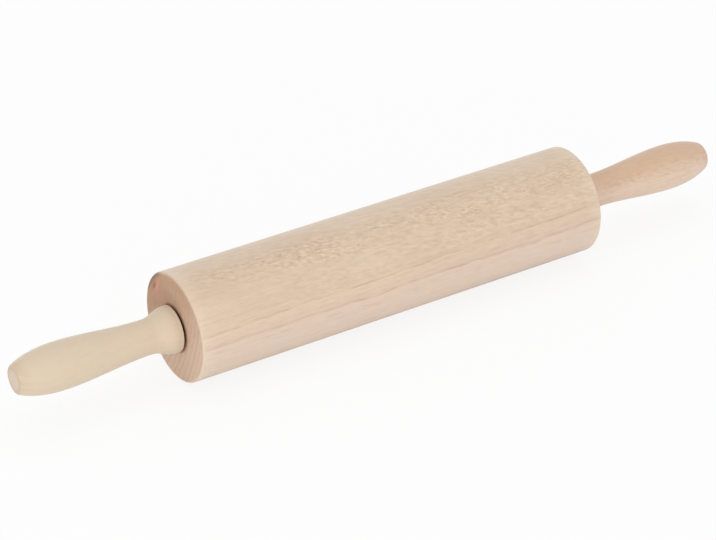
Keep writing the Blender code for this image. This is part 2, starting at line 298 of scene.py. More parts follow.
class Log(Finish):
    """A finish of beech, sawn from a log whose pith lies off to one side of the piece.

    Out is a point's distance beyond the piece's axis, on the line from the pith, and side is its
    distance from that line. Depth is its distance from the pith, and across its way round the pith.
    Side and depth sway a little along the piece. Radius is the distance from the piece's own axis.
    """

    def __init__(self, name, pith, colours):
        super().__init__(name)
        self.colours = colours
        x, y, z = self.place()
        away = math.hypot(*pith)
        out_y = -pith[0] / away
        out_z = -pith[1] / away
        sway = self.colour_of(self.patches((x, y, z), (90, 34, 34), detail=1.0))
        self.x = x
        self.y = y
        self.z = z
        self.radius = (y * y + z * z) ** 0.5
        self.out = y * out_y + z * out_z
        self.side = z * out_y - y * out_z + (sway[1] - 0.5) * SIDE_SWAY
        from_pith = self.out + away + (sway[0] - 0.5) * DEPTH_SWAY
        self.depth = (from_pith ** 2.0 + self.side * self.side) ** 0.5
        self.across = self.side.math("ARCTAN2", self.out + away) * away
        self.cloud = self.patches((x, y, z), (60, 22, 22))

    def tint(self, factor, below, colour):
        """Paints one of the wood's colours over another, as far as the factor says."""
        return self.mix(factor, below, self.colours[colour])

    def rings(self, first_ring, ring_width):
        """The line of late wood that ends a year, the slow darkening towards it, and the false rings.

        Growth counts the years outwards. Its fraction is the part of the year that has gone by, and
        high powers of that part rise late and steeply. Three false rings share each year.
        """
        uneven = self.patches((self.depth, self.x), (11, 260), detail=1.0)
        wavy = self.patches((self.across, self.x), (8, 14), layer=4.0, detail=1.0)
        growth = (self.depth - first_ring) / ring_width + (uneven - 0.5) * 0.5 + (wavy - 0.5) * 0.24
        part = growth.math("FRACT")
        year = growth.math("FLOOR")
        vigour = self.node("ShaderNodeTexWhiteNoise", {"noise_dimensions": "1D"}, {"W": year}, "Value")
        broken = self.patches((self.x, self.depth), (18, 3), layer=9.0, detail=3.0).step(0.38, 0.64)
        late = part ** LATE_SHARPNESS * part.step(1.0, 0.96) * (0.6 + 0.4 * vigour) * (0.2 + 0.9 * broken)
        season = part ** SEASON_SHARPNESS * part.step(1.0, 0.9) * (0.3 + 0.7 * vigour)
        third = (growth * 3.0).math("FRACT")
        here = self.patches((self.x, self.depth), (12, 0.9), layer=2.0).step(0.48, 0.66)
        false_ring = third ** FALSE_SHARPNESS * third.step(1.0, 0.92) * here
        return late, season, false_ring

    def rays(self, figured_from):
        """The strip that runs beside the rays, and the dark blots, the shine and the specks of rays.

        Facing is 0 where the surface runs beside the rays, and about 1 where it cuts across them. The
        strip is its lowest part. The flanks beside the strip show longer and softer waves. Up to
        figured_from, a place along X, both are weaker.
        """
        turned_by = self.out / self.radius - RAY_SKEW
        facing = turned_by.math("ABSOLUTE")
        strip = facing.step(0.36, 0.16)
        flank = facing.step(1.0, 0.55)
        crowd = self.patches((self.x, self.y, self.z), (34, 10, 10)).step(0.34, 0.60)
        figure = strip * (0.40 + 0.50 * crowd)
        if figured_from is not None:
            slanted = self.x - self.out * FIGURE_SLANT
            begun = slanted.step(figured_from - FIGURE_FADE, figured_from + FIGURE_FADE)
            figure = figure * (0.2 + 0.8 * begun)
            lower_flank = turned_by.step(0.24, 0.40) * turned_by.step(0.68, 0.48)
            flank = flank * (0.4 + 0.6 * begun + 0.8 * self.x.step(-30, 40) * lower_flank)

        lean_x = self.x * math.cos(RAY_LEAN) + self.out * math.sin(RAY_LEAN)
        lean_out = self.out * math.cos(RAY_LEAN) - self.x * math.sin(RAY_LEAN)
        grain = (self.across, lean_x, lean_out)
        ripple = self.patches(grain, (0.95, 3.4, 1.15), detail=1.0, roughness=0.6)
        wave = self.patches(grain, (1.8, 7.0, 1.8), detail=1.0, roughness=0.6)
        blot = ripple.step(0.52, 0.66) * figure + wave.step(0.52, 0.66) * flank * 0.35
        shine = ripple.step(0.48, 0.34) * figure + wave.step(0.48, 0.34) * flank * 0.35
        dash, lots = self.cells(grain, (0.6, 6.0, 2.0), least=0.14, spread=0.22)
        dash = dash * lots[1].step(0.35, 0.85) * flank * 0.7
        speck, lots = self.cells(grain, (1.3, 3.4, 2.4), least=0.22, spread=0.22)
        speck = speck * lots[1].step(0.55, 0.90) * figure
        return strip, blot.math("MAXIMUM", dash), shine, speck

    def sawn_end(self, late, season):
        """End grain: rings crossed by fine spokes, darker towards the upper back of the piece."""
        low_high = self.y * 0.6 + self.z * 0.8 + (self.cloud - 0.5) * 14.0
        bands = self.patches((self.depth, self.side), (0.7, 9.0), layer=3.0)
        spokes = self.patches((self.across, self.depth), (0.35, 7.0), layer=5.0)
        sawn = self.tint(low_high.step(-20.0, 22.0), self.colours["end"], "end_high")
        sawn = self.tint(late * 0.55 + season * 0.5, sawn, "end_late")
        sawn = self.tint(spokes.step(0.52, 0.75) * 0.3, sawn, "pale")
        return self.tint(bands.step(0.45, 0.75) * 0.25, sawn, "end_late")

    def heartwood(self, sawn, heart):
        """The end grain with the reddish heart, strongest at the left end, and its darker veins."""
        off = ((self.y - heart["y"]) ** 2.0 + (self.z - heart["z"]) ** 2.0) ** 0.5
        off = off + (self.cloud - 0.5) * 8.0
        near = off.step(heart["reach"], heart["reach"] * 0.25) * self.x.step(60.0, -100.0)
        veins = self.patches((self.depth, self.side), (1.1, 5.0), layer=7.0, detail=3.0)
        sawn = self.tint(near * (0.35 + 0.65 * veins.step(0.40, 0.62)), sawn, "heart")
        return self.tint(near * veins.step(0.58, 0.72) * 0.6, sawn, "vein"), veins

    def end_marks(self, sawn, veins, left_end):
        """The marks on the left end face: a darker brown patch over the mouth, and a small bark scar by
        the rim.

        The scar is a slanted streak, with a reddish ember on its inner side and shade on its outer
        side. Along and over count in half lengths and half widths of the streak.
        """
        patch_y = (self.y - PATCH_Y) / PATCH_WIDE
        patch_z = (self.z - PATCH_Z) / PATCH_HIGH
        dark_patch = (patch_y ** 2.0 + patch_z ** 2.0) ** 0.5
        sawn = self.tint(dark_patch.step(1.4, 0.5) * left_end * 0.55, sawn, "dark_patch")
        from_y = self.y - SCAR_Y
        from_z = self.z - SCAR_Z
        along = (from_y * math.cos(SCAR_LEAN) - from_z * math.sin(SCAR_LEAN)) / SCAR_LONG
        over = (from_y * math.sin(SCAR_LEAN) + from_z * math.cos(SCAR_LEAN)) / SCAR_WIDE
        over = over + (veins - 0.5) * 1.2
        ember = ((along + 1.3) ** 2.0 + (over + 1.9) ** 2.0) ** 0.5
        shade = ((along + 0.7) ** 2.0 + (over - 1.9) ** 2.0) ** 0.5
        scar = (along * along + over * over) ** 0.5
        sawn = self.tint(ember.step(2.3, 0.9) * left_end * 0.50, sawn, "ember")
        sawn = self.tint(shade.step(2.8, 0.8) * left_end * 0.50, sawn, "scar")
        return self.tint(scar.step(1.5, 0.7) * left_end * 0.90, sawn, "scar")

    def bark(self, left_end):
        """How much bark is left on the left end: an arc of it, at the upper back of the rim."""
        clock = self.y.math("ARCTAN2", self.z)
        arc_of_bark = clock.step(*BARK_STARTS) * clock.step(*BARK_ENDS)
        return arc_of_bark * self.radius.step(*BARK_RADII) * left_end


def beech(name, pith, ring_width, first_ring, colours, ray_strength=1.0, lines=None, blush=None,
          heart=None, figured_from=None):
    """Sanded, unfinished beech, sawn so that the log's pith lies off to one side of the piece.

    Rings are shells round the pith, each ending in a thin line of late wood. Rays are thin blades that
    stand on the pith like the spokes of a wheel: they show as blots where the surface runs beside them,
    and as short dashes where it cuts across them. Fibres run along X. Lines and blush each name a
    stretch of out, in which the rings are drawn strongly or the wood turns reddish. The end_grain
    attribute brings up the darker sawn ends. A second attribute paints shade on them where they face
    across the narrow gap between roller and grip, and in a thin line round each grip's tip. The edge
    attribute paints a highlight on the rounded corners.
    """
    wood = Log(name, pith, colours)
    x, y, z, out = wood.x, wood.y, wood.z, wood.out
    late, season, false_ring = wood.rings(first_ring, ring_width)
    strip, ray, shine, speck = wood.rays(figured_from)
    fibre = wood.patches((x, y, z), (5.0, 0.30, 0.30), detail=3.0, roughness=0.6)
    pores = wood.patches((x, y, z), (7.0, 0.8, 0.8))
    streak = wood.patches((x, y, z), (110, 1.5, 1.5), detail=3.0, roughness=0.55)

    colour = wood.tint(wood.cloud.step(0.35, 0.65), colours["pale"], "warm")
    if blush:
        reach = out + (wood.cloud - 0.5) * 10.0
        colour = wood.tint(reach.step(blush["from"], blush["to"]), colour, "blush")
    colour = wood.tint(streak.step(0.45, 0.80) * 0.45, colour, "streak")
    drawn = 0.22
    if lines:
        between = out.step(lines["from"] - 2, lines["from"]) * out.step(lines["to"] + 2, lines["to"])
        drawn = between * 0.97 + out.step(-8.0, -22.0) * 0.45 + 0.12
    colour = wood.tint((late + season * 0.25 + false_ring * 0.45) * drawn, colour, "late")
    colour = wood.tint(strip * 0.09 * ray_strength, colour, "ray")
    colour = wood.tint(shine * 0.40 * ray_strength, colour, "shine")
    colour = wood.tint(ray * 0.36 * ray_strength, colour, "ray")
    colour = wood.tint(speck * 0.50 * ray_strength, colour, "ray")

    sawn = wood.sawn_end(late, season)
    if heart:
        left_end = x.step(2 - ROLLER_HALF, 0.5 - ROLLER_HALF)
        sawn, veins = wood.heartwood(sawn, heart)
        sawn = wood.end_marks(sawn, veins, left_end)
    # Painted shade: dark brown where the narrow gap between roller and grip lies in shade, and in a thin
    # line round each grip's tip.
    sawn = wood.tint(wood.attribute("painted_shade") * 0.8, sawn, "painted_shade")
    colour = wood.mix(wood.attribute("end_grain"), colour, sawn)
    # Painted highlight: a paler tone along the rounded corners, where they catch the light.
    colour = wood.tint(wood.attribute("edge") * 0.5, colour, "painted_highlight")
    if heart:
        colour = wood.tint(wood.bark(left_end) * 0.90, colour, "bark")
    lengthwise = ((pores - 0.5) * 0.14 + (streak - 0.5) * 0.18) * ray_strength
    grain = (fibre - 0.5) * 0.14 + lengthwise + 1.0
    colour = wood.node("ShaderNodeVectorMath", {"operation": "SCALE"}, {0: colour, "Scale": grain})

    height = (fibre - 0.5) * 0.5 - late * 0.3 + ray * 0.2
    wood.set(
        Base_Color=colour,
        Roughness=0.60 + (fibre - 0.5) * 0.20 - ray * 0.10 - shine * 0.12,
        Normal=wood.bump(height, distance=0.00006, strength=0.6),
        Specular_IOR_Level=0.35,
        Sheen_Weight=0.40,
        Sheen_Roughness=0.45,
    )
    return wood.material


def ground_steel(name, colour, roughness, pitch):
    """Steel ground or drawn round its axis: fine rings whose shine varies, with faint hazing."""
    metal = Finish(name)
    x, y, z = metal.place()
    radius = (y * y + z * z) ** 0.5
    lay = metal.patches((x, radius), (pitch, pitch), detail=3.0, roughness=0.6)
    haze = metal.patches((x, y, z), (3, 3, 3))
    dull = (colour[0] * 0.86, colour[1] * 0.86, colour[2] * 0.88, 1.0)
    metal.set(
        Base_Color=metal.mix(haze, colour, dull),
        Metallic=1.0,
        Roughness=roughness + (lay - 0.5) * 0.16 + (haze - 0.5) * 0.12,
        Normal=metal.bump(lay, distance=0.00001, strength=0.5),
    )
    return metal.material


def moulded_nylon(name, colour):
    """Natural nylon: a fine moulded skin with faint flow clouds."""
    nylon = Finish(name)
    x, y, z = nylon.place()
    skin = nylon.patches((x, y, z), (0.25, 0.25, 0.25))
    flow = nylon.patches((x, y, z), (4, 4, 4))
    yellowed = (colour[0] * 0.9, colour[1] * 0.88, colour[2] * 0.82, 1.0)
    nylon.set(
        Base_Color=nylon.mix(flow, colour, yellowed),
        Roughness=0.42 + (skin - 0.5) * 0.2,
        Normal=nylon.bump(skin, distance=0.00002, strength=0.4),
        Subsurface_Weight=0.15,
        Subsurface_Radius=(0.002, 0.0018, 0.0014),
    )
    return nylon.material


def arc(centre, radius, start, end, count):
    """Points of a circle's arc, as (x, r), from the start angle to the end angle."""
    angle = np.linspace(start, end, count)
    return np.stack([centre[0] + radius * np.cos(angle), centre[1] + radius * np.sin(angle)], axis=1)


def filleted(corners, count=6):
    """One arc for each corner (x, r, fillet radius) of a closed outline.

    An arc touches both sides of its corner, and its centre lies on the corner's bisector.
    """
    corners = np.array(corners, float)
    place = corners[:, :2]
    radius = corners[:, 2:]
    back = np.roll(place, 1, axis=0) - place
    ahead = np.roll(place, -1, axis=0) - place
    back /= np.linalg.norm(back, axis=1, keepdims=True)
    ahead /= np.linalg.norm(ahead, axis=1, keepdims=True)
    half = np.arccos((back * ahead).sum(axis=1, keepdims=True)) / 2
    bisector = (back + ahead) / np.linalg.norm(back + ahead, axis=1, keepdims=True)
    centre = place + bisector * radius / np.sin(half)
    start = place + back * radius / np.tan(half) - centre
    end = place + ahead * radius / np.tan(half) - centre
    first = np.arctan2(start[:, 1:], start[:, :1])
    sweep = (np.arctan2(end[:, 1:], end[:, :1]) - first + np.pi) % (2 * np.pi) - np.pi
    angle = first + sweep * np.linspace(0, 1, count)
    return centre[:, None] + radius[:, None] * np.stack([np.cos(angle), np.sin(angle)], axis=-1)


def turned(name, profile, sides, closed, middle=(0.0, 0.0), form=None):
    """A profile carried round a line along X: (x, r) at angle a goes to (x, r cos a, r sin a).

    Points at r = 0 become one pole each. A closed profile's last point joins its first. The middle is
    the line's Y and Z. A form takes x, r and a, as arrays of one row for each point of the profile,
    and gives the x and r to use instead.
    """
    x, r = np.array(profile).T
    pole = r < 1e-6
    angle = 2 * np.pi * np.arange(sides) / sides
    x, r = (np.repeat(value[:, None], sides, axis=1) for value in (x, r))
    if form:
        x, r = form(x, r, angle[None])
    ring = np.stack([x, middle[0] + r * np.cos(angle), middle[1] + r * np.sin(angle)], axis=-1)
    counts = np.where(pole, 1, sides)
    starts = np.concatenate([[0], np.cumsum(counts)[:-1]])
    number = starts[:, None] + np.where(pole[:, None], 0, np.arange(sides)[None])
    points = np.zeros((counts.sum(), 3))
    points[number] = ring * MM
    here = np.arange(len(pole) if closed else len(pole) - 1)
    there = (here + 1) % len(pole)
    after = np.roll(number, -1, axis=1)
    quads = np.stack([number[here], number[there], after[there], after[here]], axis=-1)
    plain = ~(pole[here] | pole[there])
    from_pole = quads[pole[here]][..., [0, 1, 2]].reshape(-1, 3)
    to_pole = quads[pole[there]][..., [0, 1, 3]].reshape(-1, 3)
    return shaped(name, points, quads[plain].reshape(-1, 4), np.concatenate([from_pole, to_pole]))


def shaped(name, points, quads, triangles=np.zeros((0, 3), int)):
    """A mesh object of these points and faces, with its faces turned outwards."""
    halves = np.concatenate([quads[:, [0, 1, 2]], quads[:, [0, 2, 3]], triangles])
    a, b, c = (points[halves[:, k]] for k in range(3))
    if (a * np.cross(b, c)).sum() < 0:
        quads = quads[:, ::-1]
        triangles = triangles[:, ::-1]
    mesh = bpy.data.meshes.new(name)
    mesh.from_pydata(points.tolist(), [], quads.tolist() + triangles.tolist())
    mesh.update()
    mesh.shade_smooth()
    mesh.set_sharp_from_angle(angle=SHARP_FROM)
    piece = bpy.data.objects.new(name, mesh)
    bpy.context.scene.collection.objects.link(piece)
    return piece


def mark(piece, name, values):
    """Writes one number for each point of the piece, for its material to read."""
    attribute = piece.data.attributes.new(name, "FLOAT", "POINT")
    attribute.data.foreach_set("value", values.astype(np.float32))


def coordinates(piece):
    """The piece's points in millimetres, one row for each."""
    flat = np.zeros(len(piece.data.vertices) * 3, np.float32)
    piece.data.vertices.foreach_get("co", flat)
    return flat.reshape(-1, 3) / MM


def dressed(piece, material, body, node):
    """Gives the piece its finish, sets it on its body, and hides the node that it stands for."""
    piece.data.materials.append(material)
    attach(piece, body)
    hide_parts(node)


def smooth(value, low, high):
    """Goes smoothly from 0 at low to 1 at high: t t (3 - 2 t), for t the share of the way."""
    t = np.clip((value - low) / (high - low), 0, 1)
    return t * t * (3 - 2 * t)


def roller():
    """The roller: a straight cylinder with rounded ends, a through bore and a bearing seat in each end.

    Its profile is half of a section, mirrored in the middle, so the outer line runs from end to end.
    End grain shows on both end faces. Painted shade darkens them round the mouth, where the grips'
    rims stand close, and a painted highlight lightens the outer edge.
    """
    centre = (ROLLER_HALF - ROLLER_EDGE, ROLLER_RADIUS - ROLLER_EDGE)
    corner = arc(centre, ROLLER_EDGE, np.pi / 2, 0, count=9)
    side = np.linspace((0.0, ROLLER_RADIUS), corner[0], 15)[:-1]
    face = np.linspace(corner[-1], (ROLLER_HALF, SEAT_RADIUS + MOUTH), 48)[1:]
    seat = np.array(
        [
            (ROLLER_HALF - MOUTH, SEAT_RADIUS),
            (ROLLER_HALF - SEAT_DEPTH, SEAT_RADIUS),
            (ROLLER_HALF - SEAT_DEPTH, BORE_RADIUS),
            (0.0, BORE_RADIUS),
        ]
    )
    half = np.concatenate([side, corner, face, seat])
    other = half[::-1] * (-1, 1)
    profile = np.concatenate([half, other[1:-1]])
    piece = turned("roller", profile, sides=256, closed=True)
    x, y, z = coordinates(piece).T
    radius = np.hypot(y, z)
    inward = ROLLER_HALF - np.abs(x)
    outer_end = smooth(ROLLER_EDGE - inward, 0.0, ROLLER_EDGE) * (radius > BORE_RADIUS + 0.1)
    mark(piece, "end_grain", outer_end)
    # Painted shade round the mouth, for the narrow gap to the grip's rim.
    mark(piece, "painted_shade", 1 - smooth(radius, RIM_RADIUS, RIM_RADIUS + GAP_SHADE_REACH))
    # Painted highlight on the rounded outer edge of each end.
    corner_way = np.hypot(inward - ROLLER_EDGE / 2, radius - ROLLER_RADIUS + ROLLER_EDGE / 2)
    mark(piece, "edge", 1 - smooth(corner_way, 0.2, 1.2))
    return piece


def grip_line():
    """(distance from the rim, radius) from the tip's pole to the collar.

    The flat tip has a rounded edge. Tip to belly is a stretch of an ellipse. Belly to waist and
    waist to collar are half cosine waves.
    """
    start = math.asin(TIP_RADIUS / BELLY_RADIUS)
    half_length = BELLY_FROM_TIP / math.cos(start)
    belly_at = GRIP_LENGTH - BELLY_FROM_TIP
    angle = np.linspace(start, np.pi / 2, 40)
    nose = np.stack([belly_at + half_length * np.cos(angle), BELLY_RADIUS * np.sin(angle)], axis=1)
    slope = math.atan2(BELLY_RADIUS * math.cos(start), half_length * math.sin(start))
    reach = TIP_EDGE * math.tan((math.pi / 2 - slope) / 2)
    centre = (GRIP_LENGTH - TIP_EDGE, TIP_RADIUS - reach)
    edge = arc(centre, TIP_EDGE, 0.0, np.pi / 2 - slope, count=10)
    along = nose[:, 0] < edge[-1, 0]
    flat = np.linspace((GRIP_LENGTH, 0.0), edge[0], 6)[:-1]
    wave = (1 - np.cos(np.linspace(0, np.pi, 49))) / 2
    hollow_at = np.linspace(belly_at, WAIST_FROM_RIM, 49)
    hollow = np.stack([hollow_at, BELLY_RADIUS + (WAIST_RADIUS - BELLY_RADIUS) * wave], axis=1)
    short = (1 - np.cos(np.linspace(0, np.pi, 25))) / 2
    flare_at = np.linspace(WAIST_FROM_RIM, COLLAR, 25)
    flare = np.stack([flare_at, WAIST_RADIUS + (RIM_RADIUS - WAIST_RADIUS) * short], axis=1)
    return np.concatenate([flat, edge, nose[along], hollow[1:], flare[1:]])


def grip(name, side):
    """A turned grip: its outer line, a rounded rim, a flat rim face and a blind hole for the rod.

    End grain shows in full on the rim face, and partly round the tip. Painted shade darkens the inner
    part of the rim face, which faces the roller across a narrow gap, and, faintly, a line round the
    tip's flat disc at its crisp corner. A painted highlight lightens the rim's edge.
    """
    rim = arc((RIM_EDGE, RIM_RADIUS - RIM_EDGE), RIM_EDGE, np.pi / 2, np.pi, count=7)
    rim_face = np.linspace(rim[-1], (0.0, HOLE_RADIUS + MOUTH), 5)[1:]
    hole = np.array(
        [
            (MOUTH, HOLE_RADIUS),
            (HOLE_DEPTH, HOLE_RADIUS),
            (HOLE_DEPTH + DRILL_POINT, 0.0),
        ]
    )
    profile = np.concatenate([grip_line(), rim, rim_face, hole])
    profile = np.stack([side * (GRIP_START + profile[:, 0]), profile[:, 1]], axis=1)
    piece = turned(name, profile, sides=144, closed=False)
    x, y, z = coordinates(piece).T
    radius = np.hypot(y, z)
    from_rim = np.abs(x) - GRIP_START
    outside = radius > HOLE_RADIUS + 0.1
    rim_end = smooth(RIM_EDGE - from_rim, 0.0, RIM_EDGE)
    tip_end = smooth(from_rim, GRIP_LENGTH - 7.0, GRIP_LENGTH - 0.2)
    mark(piece, "end_grain", np.maximum(rim_end, 0.6 * tip_end) * outside)
    # Painted shade on the rim face, across the narrow gap from the roller, and faintly round the tip's
    # corner.
    rim_shade = (from_rim < 0.01) * (1 - smooth(radius, RIM_RADIUS - 2.0, RIM_RADIUS - 0.5))
    tip_corner = np.hypot(from_rim - GRIP_LENGTH + 0.25, radius - TIP_RADIUS + 0.9)
    mark(piece, "painted_shade", np.maximum(rim_shade, 0.45 * (1 - smooth(tip_corner, 0.1, 0.7))))
    # Painted highlight on the rim's edge.
    rim_corner = np.hypot(from_rim - 0.2, radius - RIM_RADIUS + 0.2)
    mark(piece, "edge", 1 - smooth(rim_corner, 0.3, 1.6))
    return piece


def triangle_wave(value):
    """Rises from 0 to 1 and falls back to 0 once for each whole number."""
    return 1 - np.abs(2 * (value % 1) - 1)


def knurled(x, r, angle):
    """The rod's surface, with a diamond knurl near each end.

    Two families of ridges wind round the rod, one each way. The height at a point is the lower of
    the two ridges there, which leaves small pyramids.
    """
    turns = KNURL_TEETH * angle / (2 * np.pi)
    lead = np.abs(x) / KNURL_LEAD
    height = np.minimum(triangle_wave(turns + lead), triangle_wave(turns - lead))
    rough = ROD_RADIUS - KNURL_DEPTH + (KNURL_DEPTH + KNURL_HEIGHT) * height
    begun = smooth(np.abs(x), KNURL_FROM, KNURL_FROM + 1)
    ended = smooth(np.abs(x), KNURL_TO - 1, KNURL_TO)
    return x, np.where(r > ROD_RADIUS - 0.001, r + (rough - r) * begun * (1 - ended), r)


def rod():
    """The fixed rod from grip to grip, chamfered at its ends."""
    knurl = np.linspace(KNURL_FROM, KNURL_TO, round((KNURL_TO - KNURL_FROM) * 8 / KNURL_LEAD))
    half = np.stack([knurl, np.full(len(knurl), ROD_RADIUS)], axis=1)
    end = np.array(
        [
            (ROD_HALF - ROD_CHAMFER, ROD_RADIUS),
            (ROD_HALF, ROD_RADIUS - ROD_CHAMFER),
            (ROD_HALF, 0.0),
        ]
    )
    half = np.concatenate([half, end])
    profile = np.concatenate([half[::-1] * (-1, 1), half])
    return turned("rod", profile, sides=6 * KNURL_TEETH, closed=False, form=knurled)


def groove(middle_angle):
    """The arc of a ball groove between its two lands, centred on the ball circle."""
    reach = math.acos(LAND_OFFSET / GROOVE_RADIUS)
    centre = (0.0, BALL_CIRCLE)
    return arc(centre, GROOVE_RADIUS, middle_angle - reach, middle_angle + reach, count=25)


def ends_at(profile, side):
    """A bearing's profile, drawn about the middle of its width, moved to the bearing at one end."""
    return np.concatenate(list(profile)) * (side, 1) + (side * BEARING_AT, 0)


def inner_race(name, side):
    """A ring on the rod with rounded edges, and a ball groove round its outside."""
    land = BALL_CIRCLE - LAND_OFFSET
    bore = ROD_RADIUS + SEAT_GAP
    half = BEARING_WIDTH / 2
    arcs = filleted([(half, bore, 0.2), (half, land, 0.3), (-half, land, 0.3), (-half, bore, 0.2)])
    ball_way = groove(-math.pi / 2)[::-1]
    profile = ends_at([*arcs[:2], ball_way, *arcs[2:]], side)
    return turned(name, profile, sides=128, closed=True)


def outer_race(name, side):
    """A ring with a ball groove round its inside, and a step on each side of it for a shield."""
    land = BALL_CIRCLE + LAND_OFFSET
    half = BEARING_WIDTH / 2
    corners = [
        (half, SHIELD_SEAT, 0.12),
        (half, BEARING_RADIUS, 0.3),
        (-half, BEARING_RADIUS, 0.3),
        (-half, SHIELD_SEAT, 0.12),
        (-STEP_AT, SHIELD_SEAT, 0.06),
        (-STEP_AT, land, 0.1),
        (STEP_AT, land, 0.1),
        (STEP_AT, SHIELD_SEAT, 0.06),
    ]
    arcs = filleted(corners)
    ball_way = groove(math.pi / 2)[::-1]
    profile = ends_at([*arcs[:6], ball_way, *arcs[6:]], side)
    return turned(name, profile, sides=160, closed=True)


def shield(name, side, facing):
    """A pressed ring: a flat rim with crimp dents, and an inner half that is dished towards the balls.

    The dish falls as a smooth step over the middle of the ring. Each dent is a round-bottomed dip,
    deepest on the rim and repeated round it. The edges are half circles, flattened to SHIELD_LIP.
    """
    outer = SHIELD_SEAT - SEAT_GAP - SHIELD_LIP
    inner = BALL_CIRCLE - LAND_OFFSET + SHIELD_CLEAR + SHIELD_LIP
    radius = np.linspace(inner, outer, 28)
    dish = SHIELD_DISH * (1 - smooth(radius, inner + 0.6, outer - 0.8))
    face = np.stack([SHIELD_FACE - dish, radius], axis=1)
    back = face[::-1] - (SHIELD_THICKNESS, 0)
    half = SHIELD_THICKNESS / 2
    flattened = (1, SHIELD_LIP / half)
    outer_edge = arc((face[-1, 0] - half, 0.0), half, 0, np.pi, count=7) * flattened + (0, outer)
    inner_edge = arc((face[0, 0] - half, 0.0), half, np.pi, 2 * np.pi, count=7) * flattened + (0, inner)
    profile = np.concatenate([face, outer_edge[1:-1], back, inner_edge[1:-1]])
    profile = profile * (side * facing, 1) + (side * BEARING_AT, 0)

    def crimped(x, r, angle):
        near_rim = smooth(r, outer - 0.6, outer - 0.2)
        dent = CRIMP_DEPTH * near_rim * triangle_wave(CRIMPS * angle / (2 * np.pi)) ** 6
        return x - side * facing * dent, r

    return turned(name, profile, sides=168, closed=True, form=crimped)


def washer(name, side):
    """A flat ring with rounded edges, between the inner race and the grip's rim face."""
    low = ROLLER_HALF - BEARING_SUNK + SEAT_GAP
    high = GRIP_START - SEAT_GAP
    outer = BALL_CIRCLE - LAND_OFFSET - 0.3
    bore = ROD_RADIUS + SEAT_GAP
    arcs = filleted([(low, bore, 0.15), (low, outer, 0.3), (high, outer, 0.3), (high, bore, 0.15)])
    profile = np.concatenate(list(arcs)) * (side, 1)
    return turned(name, profile, sides=96, closed=True)


def ball(name, place):
    """A sphere about the place: the point (R cos t, R sin t) for t from 0 to half a turn, turned round."""
    profile = arc((place[0], 0.0), BALL_RADIUS, 0, np.pi, count=29)
    profile[[0, -1], 1] = 0
    return turned(name, profile, sides=48, closed=False, middle=place[1:])


def cage(name, side, first_ball):
    """A moulded crown: a ring with a round pocket for each ball, whose horns reach past its middle.

    One half of a pocket's front edge runs from the pocket's floor up the pocket's wall, over a horn and
    down into the notch between two horns. The same number of points lies along the flat back, spread so
    that the strips between stay even. On the wall, a point at radius r and height s lies on the
    pocket's sphere, at the angle whose cosine is (r r + c c + s s - p p) / (2 c r), for a ball circle c
    and a pocket p. That edge is repeated round the ring, and carried from the outer face to the inner.
    """
    outside = [CAGE_OUTER, CAGE_OUTER - 0.12, BALL_CIRCLE + 0.3]
    inside = [BALL_CIRCLE - 0.3, CAGE_INNER + 0.12, CAGE_INNER]
    radius = np.array(outside + inside)
    row = radius[:, None]
    wide = np.sqrt(POCKET_RADIUS**2 - (row - BALL_CIRCLE) ** 2)
    climb = np.linspace(0, 1, WALL_POINTS)[None] * np.arccos(-HORN_FROM / wide)
    wall_s = -wide * np.cos(climb)
    cosine = (row**2 + BALL_CIRCLE**2 + wall_s**2 - POCKET_RADIUS**2) / (2 * BALL_CIRCLE * row)
    wall_a = np.arccos(np.clip(cosine, -1, 1))
    half_pitch = np.pi / BALLS
    horn_a = wall_a[:, -1:] + HORN[:, 0] / BALL_CIRCLE
    horn_s = np.repeat(HORN_FROM + HORN[None, :, 1], len(radius), axis=0)
    fall = np.linspace(0, 1, NOTCH_POINTS + 1)[None, 1:]
    notch_a = horn_a[:, -1:] + (half_pitch - horn_a[:, -1:]) * fall
    notch_s = horn_s[:, -1:] + (NOTCH_FLOOR - horn_s[:, -1:]) * np.sin(fall * np.pi / 2)
    edge_a = np.concatenate([wall_a, horn_a, notch_a], axis=1)
    edge_s = np.concatenate([wall_s, horn_s, notch_s], axis=1)
    count = edge_a.shape[1]
    knots = [0, 12, WALL_POINTS - 1, WALL_POINTS - 1 + len(HORN), count - 1]
    reached = [0, 2.0, 2.75, 3.0, half_pitch * BALL_CIRCLE]
    spread = np.interp(np.arange(count), knots, reached)
    back_a = np.repeat(spread[None] / BALL_CIRCLE, 2, axis=0)
    back_s = np.full_like(back_a, -CAGE_BACK)
    turn = np.concatenate([back_a[:1], edge_a, back_a[1:]])
    rise = np.concatenate([back_s[:1], edge_s, back_s[1:]])
    turn = np.concatenate([turn, 2 * half_pitch - turn[:, -2:0:-1]], axis=1)
    rise = np.concatenate([rise, rise[:, -2:0:-1]], axis=1)
    turn = np.concatenate([turn + 2 * half_pitch * k for k in range(BALLS)], axis=1) + first_ball
    rise = np.tile(rise, (1, BALLS))
    out = np.concatenate([radius[:1], radius, radius[-1:]])[:, None]
    points = np.stack([side * (BEARING_AT + rise), out * np.cos(turn), out * np.sin(turn)], axis=-1) * MM
    number = np.arange(turn.size).reshape(turn.shape)
    below = np.roll(number, -1, axis=0)
    quads = np.stack([number, below, np.roll(below, -1, axis=1), np.roll(number, -1, axis=1)], axis=-1)
    return shaped(name, points.reshape(-1, 3), quads.reshape(-1, 4))


